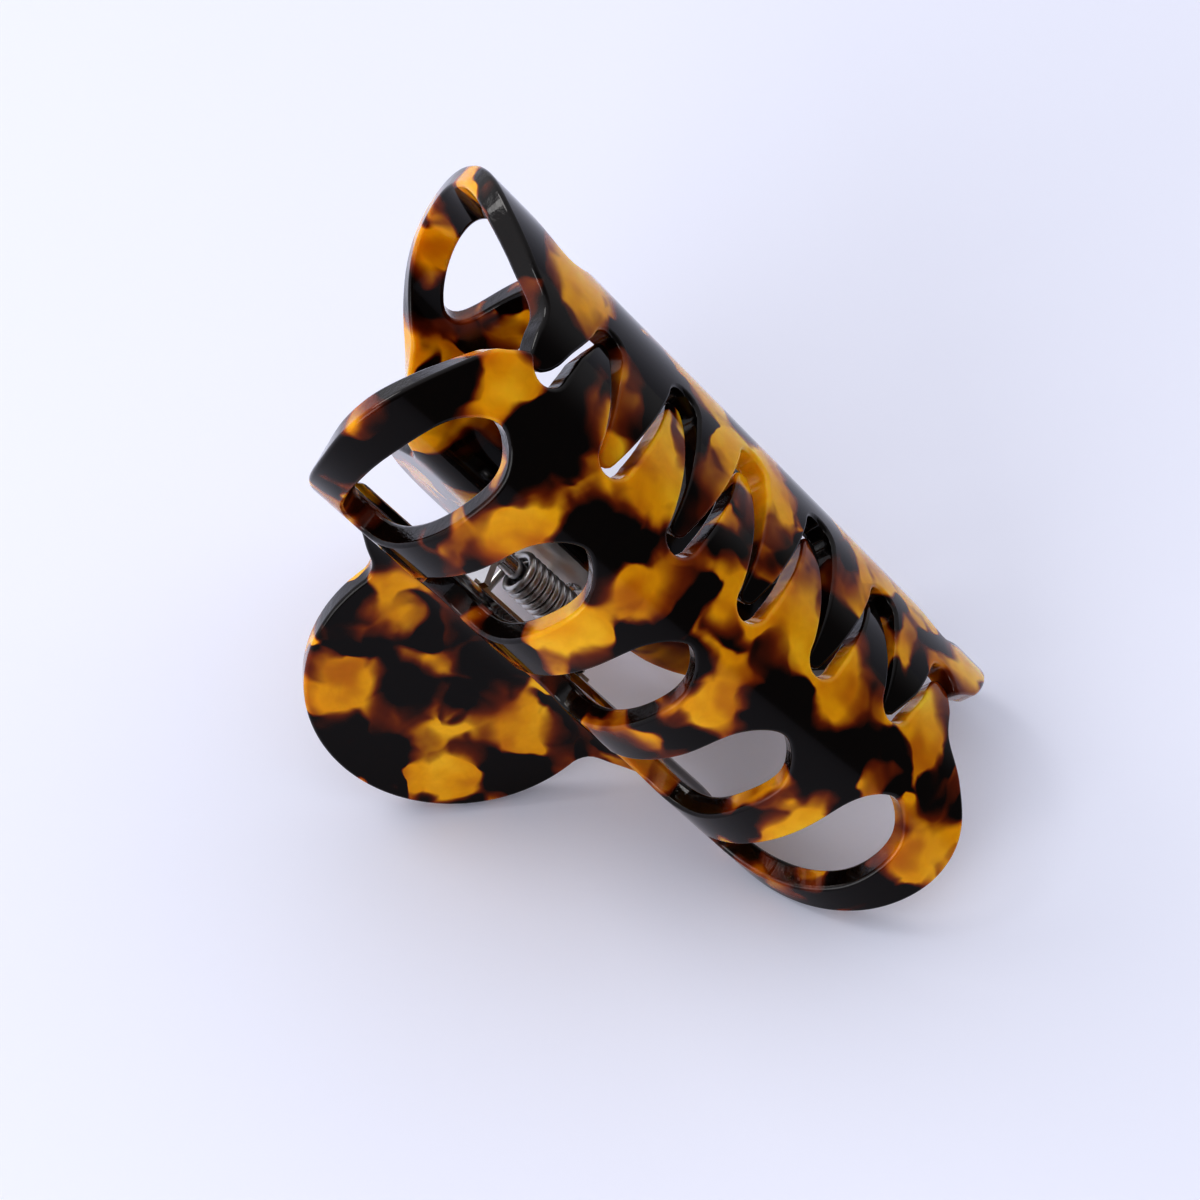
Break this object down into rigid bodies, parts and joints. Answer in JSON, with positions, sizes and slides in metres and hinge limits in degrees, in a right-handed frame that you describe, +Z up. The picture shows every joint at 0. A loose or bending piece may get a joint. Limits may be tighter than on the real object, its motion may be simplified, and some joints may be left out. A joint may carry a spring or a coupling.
{
  "type": "claw clip",
  "caption": "Hair claw clip: two rolled tortoiseshell acetate jaws with interleaved teeth, slots and half-disc handles, on a sprung pin hinge.",
  "frame": {"origin": "centre of the bounding box's base: the surface that the clip lies on", "axes": "+X along the clip, towards the end that rests on the surface; +Y from the near jaw to the far jaw; +Z up. The clip's own length leans 47.3 degrees down from +X, as it lies on both handles and one end"},
  "size_m": [0.081, 0.044, 0.0815],
  "materials": {
    "acetate": "polished tortoiseshell",
    "plate_steel": "nickel plated, satin",
    "pin_steel": "polished",
    "spring_steel": "drawn wire",
    "rivet_steel": "polished"
  },
  "bodies": {
    "near_half": {"jaw_near": "acetate", "hinge_plate_near": "plate_steel", "hinge_pin": "pin_steel", "torsion_spring": "spring_steel", "rivet_near_left": "rivet_steel", "rivet_near_right": "rivet_steel"},
    "far_half": {"jaw_far": "acetate", "hinge_plate_far": "plate_steel", "rivet_far_left": "rivet_steel", "rivet_far_right": "rivet_steel"}
  },
  "joints": [
    {"name": "jaw_hinge", "type": "hinge", "parent": "near_half", "child": "far_half", "pos_m": [-0.01585, 0, 0.02437], "axis": [-0.6782, 0, 0.7349], "range_deg": [0, 60], "stiffness_Nm_per_rad": 0.15, "springref_deg": -57.3, "deforming": ["torsion_spring"]}
  ]
}
